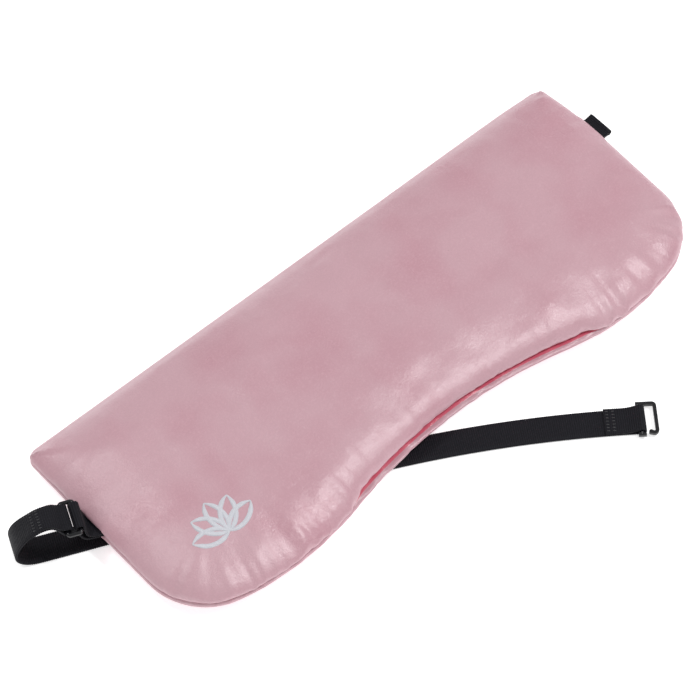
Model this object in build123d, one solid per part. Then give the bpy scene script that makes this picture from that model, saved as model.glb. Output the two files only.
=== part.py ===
# Grain-filled satin sleep eye mask with a side strap: satin cover, loose inner pouch of seeds,
# sewn-in elastic tabs, a wire ring, a flat elastic strap and a flat G-hook.
# Millimetres. Origin at the centre of the back face, +X along the length towards the hook tab,
# +Y towards the straight top edge, +Z out of the satin front. The strap is stored curled under the mask.
import os
from math import asin, atan, atan2, cos, degrees, radians, sin

from build123d import *

# Mask body
mask_length = 230.0
mask_height = 89.5
mask_thickness = 16.0
seam_height = 7.0            # the side seam's height above the back face
top_corner_radius = 4.0
bottom_corner_radius = 24.0
lobe_inset = 43.7            # from each side edge in to the lowest point of the lobe
nose_depth = 9.3             # rise of the nose notch above the lobes
nose_half_width = 45.0       # from the middle to where the notch turns into the lobe
cover_wall = 0.5
hem_thickness = 0.8          # each seam allowance, folded inside
hem_width = 6.0
sharpest_corner = 0.3        # the radius that the top corners keep in the smallest layers
opening_left = -47.5         # the slit in the bottom seam that the pouch goes in through
opening_right = 59.4
opening_gap = 0.6

# Inner pouch and filling
pouch_clearance = 0.4        # loose fit inside the cover and its hems
pouch_wall = 0.4
thread_size = 0.3

# Elastic
elastic_width = 10.0
elastic_thickness = 0.8
running_clearance = 0.1      # between an elastic loop and the bar inside it
loop_taper = 4.5             # length in which a folded end closes on itself
strap_fold_back = 12.0       # doubled and stitched length at each strap end
strap_angle = 24.1           # the stored strap runs this many degrees clockwise of +X
strap_straight = 101.2       # stored run from the curl to where it starts to bend
strap_bend_radius = 418.0
strap_bend_angle = 13.9
strap_clearance = 0.35       # between the strap and the dent it makes in the back

# Left tab and ring
ring_reach = 6.0             # from the side seam out to the ring's middle
ring_drop = 31.55            # from the top edge down to the ring's middle
ring_height = 14.2
ring_wire_radius = 0.7
ring_bar_spacing = 4.4
ring_side_play = 0.4         # between the elastic's edges and the ring's short sides
curl_reach = 12.0            # from the ring's middle to where the strap turns down
left_tab_drop = 33.25        # from the top edge down to the middle of the tab
left_tab_rise_reach = 4.6    # from the ring's middle back to the foot of the tab

# Right tab
right_tab_drop = 26.25
right_tab_reach = 5.2
tab_eye_width = 1.4
tab_eye_thickness = 0.6

# G-hook
hook_thickness = 1.2
hook_bar_radius = 0.7
hook_lug_width = 2.6         # the bar's ends, outside the elastic
hook_side_play = 0.3
hook_arm_width = 1.2
hook_mouth = 2.8             # clear gap between the strap's fold and the outer arm
hook_tip_length = 2.1
hook_tip_lift = 0.8
hook_tip_radius = 0.72
hook_bend_radius = 0.96      # at the arms' corners, along their middle

# Embroidery and stitches
motif_inset = 28.5           # from the left side in to the middle of the flower
motif_rise = 27.75           # from the lobes' lowest points up to the middle of the flower
motif_petal_length = 15.0
motif_petal_radius = 10.0
motif_line = 1.5
motif_height = 0.4
motif_fan = (-72, -36, 0, 36, 72)
backing_width = 27.0
backing_height = 16.0
backing_radius = 5.0
backing_thickness = 0.2
stitch_length = 1.0
stitch_width = 0.35
stitch_height = 0.25
stitches_per_row = 7

overlap = 1.0                # how far a cutting solid runs past the cloth that it opens

# Worked out from the sizes above
half_length = mask_length / 2
lobe_x = half_length - lobe_inset
top_y = mask_height / 2
front_crown = mask_thickness - seam_height
notch_y = -top_y + nose_depth
ring_x = -half_length - ring_reach
ring_y = top_y - ring_drop
left_tab_y = top_y - left_tab_drop
right_tab_y = top_y - right_tab_drop
motif_x = -half_length + motif_inset
motif_y = -top_y + motif_rise
nose_angle = 2 * atan(nose_depth / lobe_x)
nose_radius = nose_half_width / sin(nose_angle)
lobe_radius = (lobe_x - nose_half_width) / sin(nose_angle)
corner_angle = asin((lobe_inset - bottom_corner_radius) / (lobe_radius - bottom_corner_radius))
front_profile = [(0, 0), (0.10, 0.31), (0.31, 0.64), (0.62, 0.89), (1, 1)]
back_profile = [(0, 0), (0.10, 0.34), (0.31, 0.71), (0.60, 0.92), (1, 1)]
front_inset = 12.0
back_inset = 11.0
pouch_inset = hem_width + cover_wall + pouch_clearance
strap_dent = elastic_thickness + strap_clearance
hook_axis_height = elastic_thickness + running_clearance + hook_bar_radius


def inset_outline(inset):
    # the mask's outline, moved in by a constant distance: every round stretch is an arc
    top_radius = max(top_corner_radius - inset, sharpest_corner)
    start = (0, notch_y + inset)
    nose = JernArc(start, (1, 0), nose_radius + inset, -degrees(nose_angle))
    lobe = JernArc(nose @ 1, nose % 1, lobe_radius - inset, degrees(nose_angle + corner_angle))
    corner = JernArc(lobe @ 1, lobe % 1, bottom_corner_radius - inset, 90 - degrees(corner_angle))
    side = Line(corner @ 1, (half_length - inset, top_y - inset - top_radius))
    top_corner = JernArc(side @ 1, (0, 1), top_radius, 90)
    top = Line(top_corner @ 1, (0, top_y - inset))
    half = [nose, lobe, corner, side, top_corner, top]
    return make_face(half + [mirror(edge, Plane.YZ) for edge in half])


def crowned(profile, inset, rise, shrink=0.0, drop=0.0):
    # a domed solid over the seam plane: profile gives shares of the inset and of the rise
    sections = []
    for inward, upward in profile:
        height = seam_height + upward * rise - drop * (1 if rise > 0 else -1)
        sections.append(Pos(0, 0, height) * inset_outline(shrink + inward * inset))
    return loft(sections, ruled=True)


def slab(low_z, high_z, low_x=-mask_length, high_x=mask_length, low_y=-mask_height, high_y=mask_height):
    size = (high_x - low_x, high_y - low_y, high_z - low_z)
    middle = ((high_x + low_x) / 2, (high_y + low_y) / 2, (high_z + low_z) / 2)
    return Pos(*middle) * Box(*size)


def run_start():
    # where the strap comes out of its curl, on the surface that the mask lies on
    angle = radians(strap_angle)
    return Vector(ring_x - curl_reach * cos(angle), ring_y + curl_reach * sin(angle))


def strap_run():
    # the stored strap's centre line, seen from above
    angle = radians(strap_angle)
    heading = (cos(angle), -sin(angle))
    straight = Line(run_start(), run_start() + Vector(*heading) * strap_straight)
    bend = JernArc(straight @ 1, heading, strap_bend_radius, -strap_bend_angle)
    return straight, bend


def run_plan(half_width):
    # the strap's outline seen from above, to a half width
    straight, bend = strap_run()
    across = Vector(-(straight % 0).Y, (straight % 0).X)
    end_across = Vector(-(bend % 1).Y, (bend % 1).X)
    edges = []
    for side in (half_width, -half_width):
        first = Line(straight @ 0 + across * side, straight @ 1 + across * side)
        turn = JernArc(first @ 1, straight % 1, strap_bend_radius + side, -strap_bend_angle)
        edges += [first, turn]
    edges.append(Line(straight @ 0 + across * half_width, straight @ 0 - across * half_width))
    edges.append(Line(bend @ 1 + end_across * half_width, bend @ 1 - end_across * half_width))
    return make_face(edges)


def strap_channel(height, side_room):
    # the dent that the stored strap presses into the back, from under the back face up to a height
    return Pos(0, 0, -overlap) * extrude(run_plan(elastic_width / 2 + side_room), height + overlap)


def ring_plane():
    # local x runs from the ring out along the stored strap, local y is up
    angle = radians(strap_angle)
    return Plane(
        origin=(ring_x, ring_y, 0), x_dir=(-cos(angle), sin(angle), 0), z_dir=(sin(angle), cos(angle), 0)
    )


def hook_plane():
    # local x runs along the strap's end towards the hook's mouth, local y is up
    bend = strap_run()[1]
    heading = bend % 1
    return Plane(
        origin=((bend @ 1).X, (bend @ 1).Y, 0), x_dir=heading, z_dir=(heading.Y, -heading.X, 0)
    )


def slot_shape(width, height):
    if width <= height:
        return Circle(height / 2)
    return SlotOverall(width, height)


def folded_end(bar_width, bar_thickness, length):
    # side view of elastic folded round a bar at the origin: the main ply is straight and lowest,
    # the turned-back ply lies on it past the taper, and both run towards -x
    gap_x = bar_width / 2 + running_clearance
    gap_y = bar_thickness / 2 + running_clearance
    outer_y = gap_y + elastic_thickness
    low = -outer_y
    body = slot_shape(2 * (gap_x + elastic_thickness), 2 * outer_y)
    body += make_face(Polyline(
        (0, low), (0, outer_y), (-loop_taper, low + 2 * elastic_thickness),
        (-length, low + 2 * elastic_thickness), (-length, low), close=True))
    eye = slot_shape(2 * gap_x, 2 * gap_y)
    eye += make_face(Polyline(
        (0, -gap_y), (0, gap_y), (-loop_taper + elastic_thickness, -gap_y), close=True))
    return body - eye


def across(profile, plane, width=elastic_width):
    # a side view made as wide as the elastic, centred on its plane
    return extrude(plane * profile, width / 2, both=True)


def make_left_tab():
    # a folded loop that rises from the side seam to the ring's near bar
    bar = Vector(-ring_bar_spacing / 2, ring_height)
    foot = Vector(-left_tab_rise_reach, seam_height)
    rise = bar - foot
    tilt = degrees(atan2(rise.Y, rise.X))
    bar_size = 2 * ring_wire_radius
    profile = Pos(bar.X, bar.Y) * Rot(0, 0, tilt) * folded_end(bar_size, bar_size, rise.length)
    root_width = elastic_width / cos(radians(strap_angle))
    depth = half_length - hem_width
    foot_x = ring_x + left_tab_rise_reach * cos(radians(strap_angle))
    root = slab(
        seam_height - elastic_thickness, seam_height + elastic_thickness,
        foot_x - elastic_thickness, -depth, left_tab_y - root_width / 2, left_tab_y + root_width / 2)
    return across(profile, ring_plane()) + root


def make_right_tab():
    # a flat folded loop whose eye takes the hook
    outer = tab_eye_width / 2 + running_clearance + elastic_thickness
    length = hem_width + right_tab_reach - outer
    plane = Plane(
        origin=(half_length + right_tab_reach - outer, right_tab_y, seam_height + tab_eye_thickness / 2
                + running_clearance), x_dir=(1, 0, 0), z_dir=(0, -1, 0))
    return across(folded_end(tab_eye_width, tab_eye_thickness, length), plane)


def opening_slit():
    half = opening_gap / 2
    return slab(
        seam_height - half, seam_height + half, opening_left, opening_right, -mask_height,
        notch_y + hem_width + overlap)


def make_cover_front(tabs):
    outer = crowned(front_profile, front_inset, front_crown)
    inner = crowned(front_profile, front_inset, front_crown, cover_wall, cover_wall)
    inner -= slab(0, seam_height + hem_thickness)
    depth = hem_thickness + 2 * overlap
    mouth = Pos(0, 0, seam_height - overlap) * extrude(inset_outline(hem_width), depth)
    return outer - inner - mouth - opening_slit() - tabs


def make_cover_back(tabs):
    outer = crowned(back_profile, back_inset, -seam_height)
    inner = crowned(back_profile, back_inset, -seam_height, cover_wall, cover_wall)
    inner -= slab(seam_height - hem_thickness, seam_height + overlap)
    lowest = seam_height - hem_thickness - overlap
    mouth = Pos(0, 0, lowest) * extrude(inset_outline(hem_width), hem_thickness + 2 * overlap)
    outer -= strap_channel(strap_dent, strap_clearance)
    inner -= strap_channel(strap_dent + cover_wall, strap_clearance + cover_wall)
    return outer - inner - mouth - opening_slit() - tabs


def make_cover_thread():
    # one line of stitching on each side of the joined allowances, left off along the opening
    line = inset_outline(hem_width / 2) - inset_outline(hem_width / 2 + thread_size)
    top = Pos(0, 0, seam_height + hem_thickness) * extrude(line, thread_size)
    bottom = Pos(0, 0, seam_height - hem_thickness - thread_size) * extrude(line, thread_size)
    gap = slab(0, mask_thickness, opening_left, opening_right, -mask_height, notch_y + hem_width + overlap)
    return top + bottom - gap


def pouch_half(rise, profile, inset, wall):
    # the pouch fits loosely inside the cover: wall is how far inside the pouch's outer face it is
    side = 1 if rise > 0 else -1
    depth = abs(rise) - cover_wall - pouch_clearance - wall
    return crowned(profile, inset, side * depth, pouch_inset + wall)


def make_pouch_front():
    outer = pouch_half(front_crown, front_profile, front_inset / 2, 0)
    return outer - pouch_half(front_crown, front_profile, front_inset / 2, pouch_wall)


def pouch_back_solid(wall):
    room = cover_wall + pouch_clearance + wall
    solid = pouch_half(-seam_height, back_profile, back_inset / 2, wall)
    return solid - strap_channel(strap_dent + room, strap_clearance + room)


def make_pouch_back():
    return pouch_back_solid(0) - pouch_back_solid(pouch_wall)


def make_pouch_thread():
    # stitching round the pouch, just outside the filling, hidden in the pouch's own edge
    inset = pouch_inset - thread_size
    line = inset_outline(inset) - inset_outline(pouch_inset)
    return Pos(0, 0, seam_height - thread_size / 2) * extrude(line, thread_size)


def make_seed_filling():
    front = pouch_half(front_crown, front_profile, front_inset / 2, pouch_wall)
    return front + pouch_back_solid(pouch_wall)


def petal(length, radius, line):
    # one pointed petal in outline: where two equal discs overlap, less the same shape inside it
    offset = (radius ** 2 - (length / 2) ** 2) ** 0.5
    outer = Pos(offset, length / 2) * Circle(radius) & Pos(-offset, length / 2) * Circle(radius)
    inner = Pos(offset, length / 2) * Circle(radius - line) & Pos(-offset, length / 2) * Circle(radius - line)
    return outer - inner


def make_motif():
    # a plain open flower, each petal a raised satin-stitch line
    flower = Sketch()
    for turn in motif_fan:
        flower += Rot(0, 0, -turn) * petal(motif_petal_length, motif_petal_radius, motif_line)
    place = Pos(motif_x, motif_y - motif_petal_length / 2, mask_thickness)
    return place * extrude(flower, motif_height)


def make_motif_backing():
    sheet = extrude(RectangleRounded(backing_width, backing_height, backing_radius), backing_thickness)
    return Pos(motif_x, motif_y, mask_thickness - cover_wall - backing_thickness) * sheet


def make_ring():
    # rectangular wire ring: long bars across the elastic, short sides clear of its edges
    long_side = elastic_width + 2 * (ring_side_play + ring_wire_radius)
    bend = ring_wire_radius + running_clearance
    plan = Plane(origin=(ring_x, ring_y, ring_height), x_dir=ring_plane().x_dir)
    path = plan * RectangleRounded(ring_bar_spacing, long_side, bend).wire()
    section = Plane(origin=path @ 0, z_dir=path % 0) * Circle(ring_wire_radius)
    return sweep(section, path=path)


def make_strap():
    # one piece: folded on the ring's far bar, along, round the curl, under the mask, folded on the hook
    bar_size = 2 * ring_wire_radius
    bar_x = ring_bar_spacing / 2
    top = ring_height + ring_wire_radius + running_clearance + elastic_thickness
    ring_end = mirror(mirror(folded_end(bar_size, bar_size, strap_fold_back), Plane.YZ), Plane.XZ)
    profile = Pos(bar_x, ring_height) * ring_end
    profile += make_face(Polyline(
        (bar_x, top), (curl_reach, top), (curl_reach, top - elastic_thickness),
        (bar_x, top - elastic_thickness), close=True))
    curl = Circle(top / 2) - Circle(top / 2 - elastic_thickness)
    curl &= Pos(top, 0) * Rectangle(2 * top, 2 * top)
    profile += Pos(curl_reach, top / 2) * curl
    lower_run = extrude(run_plan(elastic_width / 2), elastic_thickness)
    hook_bar = 2 * hook_bar_radius
    hook_end = Pos(0, hook_axis_height) * folded_end(hook_bar, hook_bar, strap_fold_back)
    return across(profile, ring_plane()) + lower_run + across(hook_end, hook_plane())


def stitch_row(along):
    # a row of short stitches across the elastic, as seen from above
    pitch = elastic_width / (stitches_per_row + 1)
    row = Sketch()
    for number in range(stitches_per_row):
        place = Pos(along, (number + 1) * pitch - elastic_width / 2)
        row += place * Rectangle(stitch_length, stitch_width)
    return row


def make_ring_end_stitches():
    # two rows on top of the doubled elastic, just inside its end
    top = ring_height + ring_wire_radius + running_clearance + elastic_thickness
    plan = Plane(origin=(ring_x, ring_y, top), x_dir=ring_plane().x_dir)
    last = ring_bar_spacing / 2 + strap_fold_back - 2 * stitch_length
    rows = stitch_row(last - 2 * stitch_length) + stitch_row(last - 4 * stitch_length)
    return extrude(plan * rows, stitch_height)


def make_hook_end_stitches():
    plan = Plane(origin=hook_plane().origin + Vector(0, 0, 2 * elastic_thickness), x_dir=hook_plane().x_dir)
    last = -strap_fold_back + stitch_length
    return extrude(plan * (stitch_row(last) + stitch_row(last + 2 * stitch_length)), stitch_height)


def make_hook():
    # flat cast hook: a round bar in the strap's fold, one side arm, an outer arm and a turned-in tip
    half = elastic_width / 2 + hook_side_play + hook_arm_width
    fold = hook_bar_radius + running_clearance + elastic_thickness
    outer_x = fold + hook_mouth + hook_arm_width / 2
    arm_y = half - hook_arm_width / 2
    spine = FilletPolyline(
        (0, arm_y), (outer_x, arm_y), (outer_x, -arm_y),
        (outer_x - hook_tip_length, -arm_y + hook_tip_lift), radius=hook_bend_radius)
    plate = trace(spine, hook_arm_width) + Pos((spine @ 1).X, (spine @ 1).Y) * Circle(hook_tip_radius)
    for side in (arm_y, -arm_y):
        plate += Pos(0, side) * Rectangle(hook_lug_width, hook_arm_width)
    place = hook_plane()
    bottom = hook_axis_height - hook_thickness / 2
    plan = Plane(origin=place.origin + Vector(0, 0, bottom), x_dir=place.x_dir)
    bar = across(Pos(0, hook_axis_height) * Circle(hook_bar_radius), place, 2 * half - hook_arm_width)
    return extrude(plan * plate, hook_thickness) + bar


left_tab = make_left_tab()
right_tab = make_right_tab()
tabs = left_tab + right_tab
nodes = {
    "cover_front": make_cover_front(tabs),
    "cover_back": make_cover_back(tabs),
    "cover_seam_thread": make_cover_thread() - tabs,
    "pouch_front": make_pouch_front(),
    "pouch_back": make_pouch_back(),
    "pouch_seam_thread": make_pouch_thread(),
    "seed_filling": make_seed_filling(),
    "motif_embroidery": make_motif(),
    "motif_backing": make_motif_backing(),
    "left_tab": left_tab,
    "right_tab": right_tab,
    "strap_ring": make_ring(),
    "elastic_strap": make_strap(),
    "ring_end_stitches": make_ring_end_stitches(),
    "hook_end_stitches": make_hook_end_stitches(),
    "g_hook": make_hook(),
}

os.makedirs("parts", exist_ok=True)
for name, solid in nodes.items():
    export_step(solid, f"parts/{name}.step")
    box = solid.bounding_box()
    print(f"{name}: {len(solid.solids())} solids, {solid.volume:.1f} mm3, {box.size}")
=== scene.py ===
import math
import bmesh
import bpy
import numpy as np
from mathutils import Matrix, Vector, noise
from mathutils.bvhtree import BVHTree


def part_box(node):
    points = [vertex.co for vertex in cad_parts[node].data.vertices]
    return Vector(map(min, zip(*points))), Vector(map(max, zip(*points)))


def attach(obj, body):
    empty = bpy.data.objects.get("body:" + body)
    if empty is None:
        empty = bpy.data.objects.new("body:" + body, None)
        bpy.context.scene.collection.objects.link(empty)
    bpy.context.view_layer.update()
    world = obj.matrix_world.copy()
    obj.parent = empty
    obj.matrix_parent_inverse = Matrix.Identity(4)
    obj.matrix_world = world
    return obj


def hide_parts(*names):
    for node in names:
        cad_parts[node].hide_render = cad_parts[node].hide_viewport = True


# Satin sleep eye mask: a puffed cover round a loose seed pouch, an elastic strap on a ring, and a G-hook.
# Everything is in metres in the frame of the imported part: +X towards the hook's tab, +Z out of the satin front.

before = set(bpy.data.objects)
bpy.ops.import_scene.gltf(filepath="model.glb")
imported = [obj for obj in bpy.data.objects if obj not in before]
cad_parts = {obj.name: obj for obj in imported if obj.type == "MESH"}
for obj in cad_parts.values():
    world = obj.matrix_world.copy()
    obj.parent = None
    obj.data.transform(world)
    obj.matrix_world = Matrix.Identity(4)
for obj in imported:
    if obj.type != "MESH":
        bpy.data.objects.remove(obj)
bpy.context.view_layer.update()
scene = bpy.context.scene
mm = 0.001
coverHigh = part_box("cover_front")[1]
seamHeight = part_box("cover_front")[0].z
halfLength = coverHigh.x
topY = coverHigh.y


cameraSetup = {
    "azimuth": -41.67,
    "elevation": 56.0,
    "distance": 1.1256,
    "target": (-0.0084, 0.0059, 0.0070),
    "lens": 174.86,
}


def addCamera():
    azimuth = math.radians(cameraSetup["azimuth"])
    elevation = math.radians(cameraSetup["elevation"])
    back = Vector((math.sin(azimuth) * math.cos(elevation),
                   -math.cos(azimuth) * math.cos(elevation), math.sin(elevation)))
    camera = bpy.data.objects.new("camera", bpy.data.cameras.new("camera"))
    scene.collection.objects.link(camera)
    camera.location = Vector(cameraSetup["target"]) + back * cameraSetup["distance"]
    camera.rotation_euler = (-back).to_track_quat("-Z", "Y").to_euler()
    camera.data.lens = cameraSetup["lens"]
    camera.data.sensor_width = 36.0
    camera.data.clip_start = 0.01
    scene.camera = camera


lightSetup = {
    "sky": 0.52,
    "key": {"place": (0.50, -0.60, 1.10), "size": 0.34, "power": 1.4},
    "fill": {"place": (-0.33, 0.56, 1.18), "size": 0.24, "power": 3.0},
    "top": {"place": (0.44, -0.36, 1.09), "size": 0.16, "power": 4.6},
    "floorColour": (0.92, 0.92, 0.92),
    "floorGlow": 0.56,
    "floorSize": 6.0,
    "floorDrop": 0.0003,
}


def addLamp(name, place, size, power):
    lamp = bpy.data.lights.new(name, "AREA")
    lamp.shape = "DISK"
    lamp.size = size
    lamp.energy = power
    holder = bpy.data.objects.new(name, lamp)
    holder.location = place
    holder.rotation_euler = (-Vector(place)).to_track_quat("-Z", "Y").to_euler()
    scene.collection.objects.link(holder)


def addStage():
    world = bpy.data.worlds.new("studio")
    world.use_nodes = True
    world.node_tree.nodes["Background"].inputs["Color"].default_value = (1, 1, 1, 1)
    world.node_tree.nodes["Background"].inputs["Strength"].default_value = lightSetup["sky"]
    scene.world = world
    scene.view_settings.view_transform = "Standard"
    addLamp("keyLight", **lightSetup["key"])
    addLamp("fillLight", **lightSetup["fill"])
    addLamp("topLight", **lightSetup["top"])
    bm = bmesh.new()
    bmesh.ops.create_grid(bm, x_segments=1, y_segments=1, size=lightSetup["floorSize"] / 2)
    bmesh.ops.translate(bm, verts=bm.verts[:], vec=(0, 0, -lightSetup["floorDrop"]))
    floor = addPiece("studioFloor", bm)
    floorPaint = bpy.data.materials.new("floorPaint")
    floorPaint.use_nodes = True
    shader = floorPaint.node_tree.nodes["Principled BSDF"]
    shader.inputs["Base Color"].default_value = (*lightSetup["floorColour"], 1)
    shader.inputs["Roughness"].default_value = 0.9
    shader.inputs["Emission Color"].default_value = (1, 1, 1, 1)
    shader.inputs["Emission Strength"].default_value = lightSetup["floorGlow"]
    floor.data.materials.append(floorPaint)


def addPiece(name, bm, smooth=True):
    mesh = bpy.data.meshes.new(name)
    bm.to_mesh(mesh)
    bm.free()
    for polygon in mesh.polygons:
        polygon.use_smooth = smooth
    piece = bpy.data.objects.new(name, mesh)
    scene.collection.objects.link(piece)
    return piece


def finishWith(piece, kind, **settings):
    modifier = piece.modifiers.new(kind.lower(), kind)
    for key, value in settings.items():
        setattr(modifier, key, value)
    return modifier


def bakeModifiers(piece):
    graph = bpy.context.evaluated_depsgraph_get()
    mesh = bpy.data.meshes.new_from_object(piece.evaluated_get(graph))
    piece.modifiers.clear()
    old = piece.data
    piece.data = mesh
    bpy.data.meshes.remove(old)
    return piece


def smoothStep(low, high, value):
    t = min(max((value - low) / (high - low), 0.0), 1.0)
    return t * t * (3 - 2 * t)


outline = {
    "topRadius": 4.0 * mm,
    "cornerRadius": 24.0 * mm,
    "lobeInset": 43.7 * mm,
    "noseDepth": 9.3 * mm,
    "noseHalfWidth": 45.0 * mm,
}


def arcPoints(centre, radius, start, end, count):
    angles = np.radians(np.linspace(start, end, count + 1))
    return np.stack([centre[0] + radius * np.cos(angles), centre[1] + radius * np.sin(angles)], 1)


def halfOutline():
    # from the middle of the notch round to the middle of the top, as round arcs
    o = outline
    lobeX = halfLength - o["lobeInset"]
    turn = 2 * math.atan(o["noseDepth"] / lobeX)
    noseRadius = o["noseHalfWidth"] / math.sin(turn)
    lobeRadius = (lobeX - o["noseHalfWidth"]) / math.sin(turn)
    r = o["cornerRadius"]
    corner = math.asin((o["lobeInset"] - r) / (lobeRadius - r))
    turnDeg, cornerDeg = math.degrees(turn), math.degrees(corner)
    notchY = -topY + o["noseDepth"]
    nose = arcPoints((0, notchY - noseRadius), noseRadius, 90, 90 - turnDeg, 60)
    lobe = arcPoints((lobeX, -topY + lobeRadius), lobeRadius, -90 - turnDeg, -90 + cornerDeg, 60)
    end = lobe[-1]
    centre = end + np.array([-math.sin(corner), math.cos(corner)]) * r
    low = arcPoints(centre, r, -90 + cornerDeg, 0, 60)
    high = arcPoints((halfLength - o["topRadius"], topY - o["topRadius"]), o["topRadius"], 0, 90, 20)
    return np.concatenate([nose, lobe[1:], low[1:], high, [[0, topY]]])


def spaced(points, count):
    # the same line with its points evenly spaced
    along = np.concatenate([[0], np.cumsum(np.linalg.norm(np.diff(points, axis=0), axis=1))])
    want = np.linspace(0, along[-1], count)
    return np.stack([np.interp(want, along, points[:, i]) for i in range(points.shape[1])], 1)


def makeOutline():
    right = halfOutline()
    left = (right * [-1, 1])[::-1]
    loop = spaced(np.concatenate([right, left[1:]]), 3001)[:-1]
    step = np.roll(loop, -1, 0) - np.roll(loop, 1, 0)
    step /= np.linalg.norm(step, axis=1)[:, None]
    return loop, np.stack([-step[:, 1], step[:, 0]], 1)


edgeLine, edgeInward = makeOutline()


def patchSides():
    # the outline as four sides between its corners, each from left to right or from low to high
    right = spaced(halfOutline(), 2001)
    low = int(np.argmax(right[:, 0] * 0.8 - right[:, 1]))
    high = int(np.argmax(right[:, 0] + right[:, 1]))
    left = right * [-1, 1]
    return {
        "bottom": spaced(np.concatenate([left[low::-1], right[1:low + 1]]), 1001),
        "right": spaced(right[low:high + 1], 1001),
        "left": spaced(left[low:high + 1], 1001),
        "top": spaced(np.concatenate([left[high:], right[:high - 1:-1][1:]]), 1001),
    }


def coonsPatch(u, v, sides):
    # points of a smooth grid hung between the four sides
    def at(line, share):
        spot = np.linspace(0, 1, len(line))
        return np.stack([np.interp(share, spot, line[:, 0]), np.interp(share, spot, line[:, 1])], -1)
    bottom, top, left, right = (at(sides[k], s) for k, s in (("bottom", u), ("top", u), ("left", v), ("right", v)))
    b, t = sides["bottom"], sides["top"]
    u, v = u[..., None], v[..., None]
    corners = (1 - u) * (1 - v) * b[0] + u * (1 - v) * b[-1] + (1 - u) * v * t[0] + u * v * t[-1]
    return (1 - v) * bottom + v * top + (1 - u) * left + u * right - corners


def nearEdge(points):
    # distance in from the outline, the place along it, and the inward direction
    index = np.concatenate([
        np.argmin(((part[:, None] - edgeLine[None]) ** 2).sum(-1), 1) for part in np.array_split(points, 40)])
    offset = points - edgeLine[index]
    inward = edgeInward[index]
    return np.abs((offset * inward).sum(1)), index, inward


coverShape = {
    "across": 176,
    "down": 80,
    "crowding": 0.72,
    "front": {
        "cut": [0, .3, .6, 1, 1.5, 2, 3, 4, 5.5, 7, 9, 11, 13.5, 16, 20, 24, 60],
        "inset": [.9, .35, .05, 0, .2, .5, 1.3, 2.2, 3.6, 5.1, 7.1, 9.2, 11.9, 14.6, 19.2, 23.7, 60],
        "rise": [.1, .4, .9, 1.45, 2.0, 2.5, 3.3, 3.95, 4.8, 5.5, 6.35, 7.0, 7.65, 8.15, 8.7, 8.95, 9.0],
    },
    "back": {
        "cut": [0, .3, .6, 1, 1.5, 2, 3, 4, 5.5, 7, 9, 11, 13.5, 16, 20, 24, 60],
        "inset": [.9, .4, .1, .05, .35, .75, 1.6, 2.6, 4.1, 5.7, 7.9, 10.0, 12.7, 15.4, 19.6, 23.9, 60],
        "rise": [.1, .4, .95, 1.5, 2.2, 2.8, 3.85, 4.7, 5.6, 6.2, 6.7, 6.9, 7.0, 7.0, 7.0, 7.0, 7.0],
    },
    "topEdge": {
        "cut": [0, .3, .6, 1, 1.5, 2, 3, 4, 5.5, 7, 9, 11, 13.5, 16, 20, 24, 60],
        "inset": [.8, .45, .25, .35, .8, 1.3, 2.3, 3.3, 4.9, 6.4, 8.5, 10.6, 13.2, 15.8, 19.9, 24, 60],
        "rise": [.1, .3, .55, .9, 1.3, 1.7, 2.5, 3.25, 4.3, 5.15, 6.2, 7.0, 7.75, 8.25, 8.75, 9.0, 9.0],
    },
    "lip": {
        "cut": [0, .3, .6, 1, 1.5, 2, 2.6, 3.2, 4, 5.5, 7, 9, 11, 60],
        "inset": [1.9, 1.35, .85, .45, .15, .3, .95, 1.35, 1.5, 2.4, 4.1, 6.5, 8.9, 60],
        "rise": [.05, .08, .15, .3, .8, 1.3, 1.75, 2.15, 3.0, 4.5, 5.6, 6.6, 6.95, 7.0],
    },
    "setBack": 2.3,
    "wall": 0.35,
    "opening": (-47.5, 59.4),
    "openingGap": 0.32,
    "openingHem": 5.6,
    "seamHem": 3.0,
    "seamGap": 0.06,
    "dimple": 0.88,
    "roll": 0.60,
    "tucks": [((104.0, -27.0), 30.0, (-1.5, 0.9)), ((-60.0, -42.0), 26.0, (-0.3, 1.0)),
              ((113.0, 44.0), 12.0, (-1.6, -0.5))],
    "pucker": 1.30,
}


def softNoise(points, size, seed):
    # smooth noise about 0, for lists of flat points
    return np.array([noise.noise(Vector((x / size, y / size, seed))) for x, y in points])


def edgeFacts(index):
    # what changes along the outline: how open the seam is, and where a tab parts it
    spot = edgeLine[index] / mm
    lower = spot[:, 1] < 0
    low, high = coverShape["opening"]
    reach = np.clip((spot[:, 0] - low + 3) / 11, 0, 1) * np.clip((high - spot[:, 0] + 2) / 9, 0, 1) * lower
    reach = reach * reach * (3 - 2 * reach)
    leftTab = np.exp(-(np.maximum(np.abs(spot[:, 1] - tabSetup["leftY"]) - 5.4, 0) / 1.6) ** 2) * (spot[:, 0] < -100)
    rightTab = np.exp(-(np.maximum(np.abs(spot[:, 1] - tabSetup["rightY"]) - 5.2, 0) / 1.6) ** 2) * (spot[:, 0] > 100)
    return reach, np.maximum(leftTab, rightTab)


def tucked(xy):
    # places where the sewn edge is pulled in a little: each a spot, how far it reaches, and the shift
    for place, reach, shift in coverShape["tucks"]:
        away = np.linalg.norm(xy - np.array(place) * mm, axis=1) / (reach * mm)
        xy = xy + np.exp(-away[:, None] ** 2) * np.array(shift) * mm
    return xy


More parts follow.
